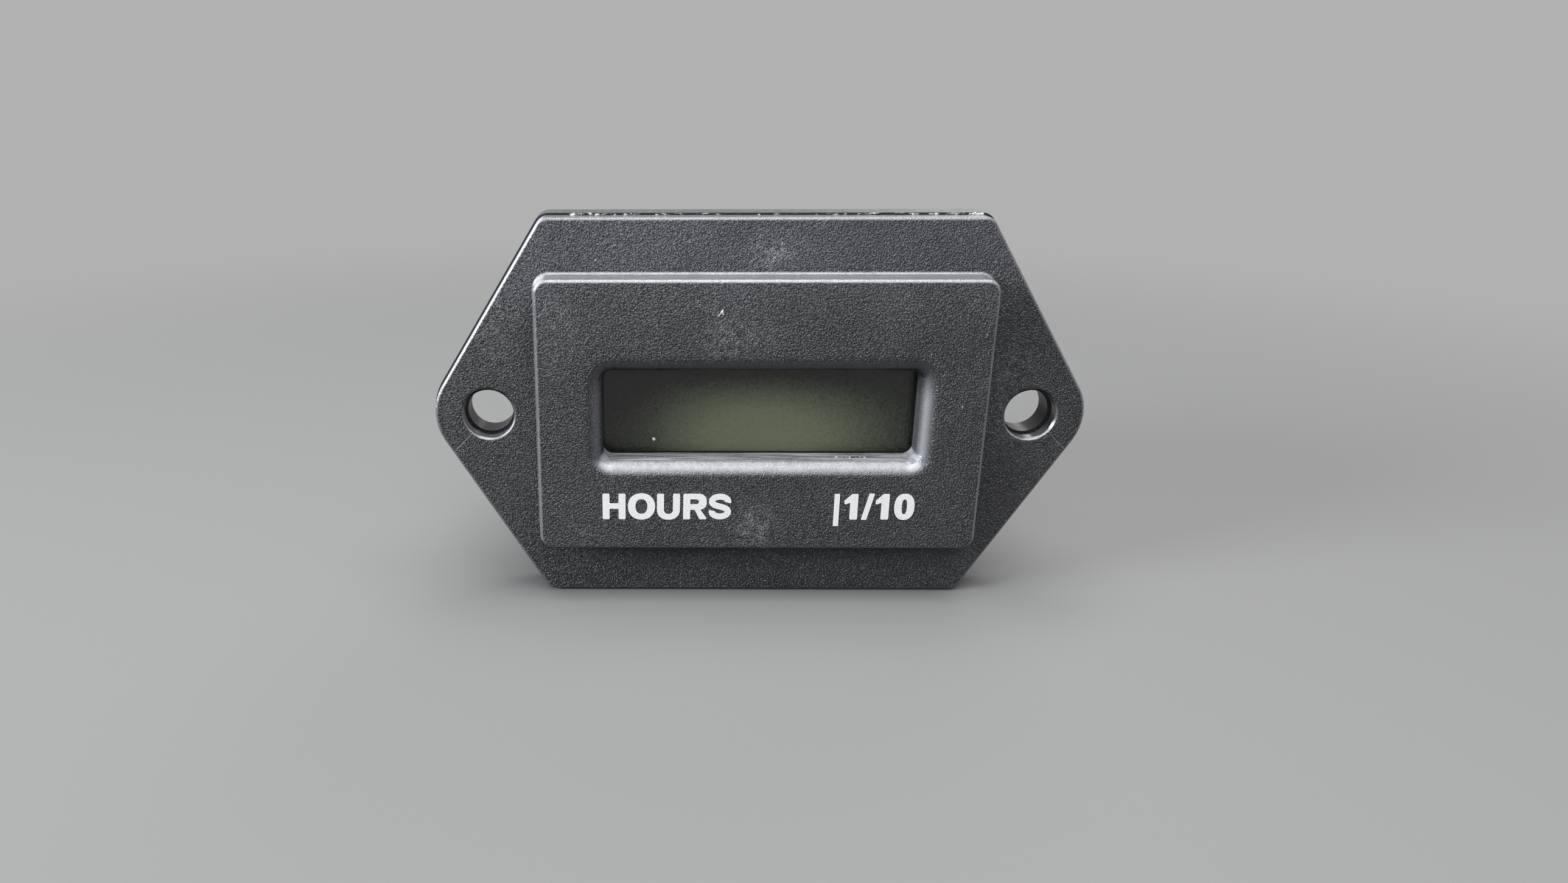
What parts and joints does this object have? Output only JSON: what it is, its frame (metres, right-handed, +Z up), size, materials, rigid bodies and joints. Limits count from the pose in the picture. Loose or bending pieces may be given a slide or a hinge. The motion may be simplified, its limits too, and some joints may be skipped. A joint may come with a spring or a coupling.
{
  "type": "panel hour meter",
  "caption": "Panel hour meter with a six-sided screw flange, raised face, rolled window edge over a blank liquid crystal display, and a plain rear case with blade terminals.",
  "frame": {"origin": "midway between the two screw holes, on the face of the case flange that seats on the panel", "axes": "+X right as seen from the front, +Y back through the panel, +Z up"},
  "size_m": [0.0614, 0.0339, 0.037],
  "materials": {
    "bezel_plastic": "fine spark-eroded texture, smoother at the edges",
    "case_plastic": "smooth moulded",
    "clear_lens": "clear moulded plastic, slightly glossy",
    "polariser_film": "dark olive film",
    "display_glass": "clear sheet glass",
    "reflector_film": "silvery green film",
    "holder_plastic": "satin moulded",
    "strip_rubber": "matt layered silicone",
    "board_laminate": "satin solder mask",
    "chip_body": "matt epoxy",
    "can_metal": "drawn can",
    "varistor_coat": "dipped epoxy",
    "terminal_metal": "bright tin plate"
  },
  "bodies": {
    "root": {"front_bezel": "bezel_plastic", "rear_case": "case_plastic", "window_lens": "clear_lens", "lcd_front_polariser": "polariser_film", "lcd_front_glass": "display_glass", "lcd_rear_glass": "display_glass", "lcd_reflector": "reflector_film", "display_holder": "holder_plastic", "upper_zebra_strip": "strip_rubber", "lower_zebra_strip": "strip_rubber", "circuit_board": "board_laminate", "controller_chip": "chip_body", "memory_chip": "chip_body", "watch_crystal": "can_metal", "bridge_rectifier": "chip_body", "smoothing_capacitor": "can_metal", "upper_dropper_resistor": "chip_body", "lower_dropper_resistor": "chip_body", "varistor": "varistor_coat", "left_terminal": "terminal_metal", "right_terminal": "terminal_metal"}
  },
  "joints": []
}
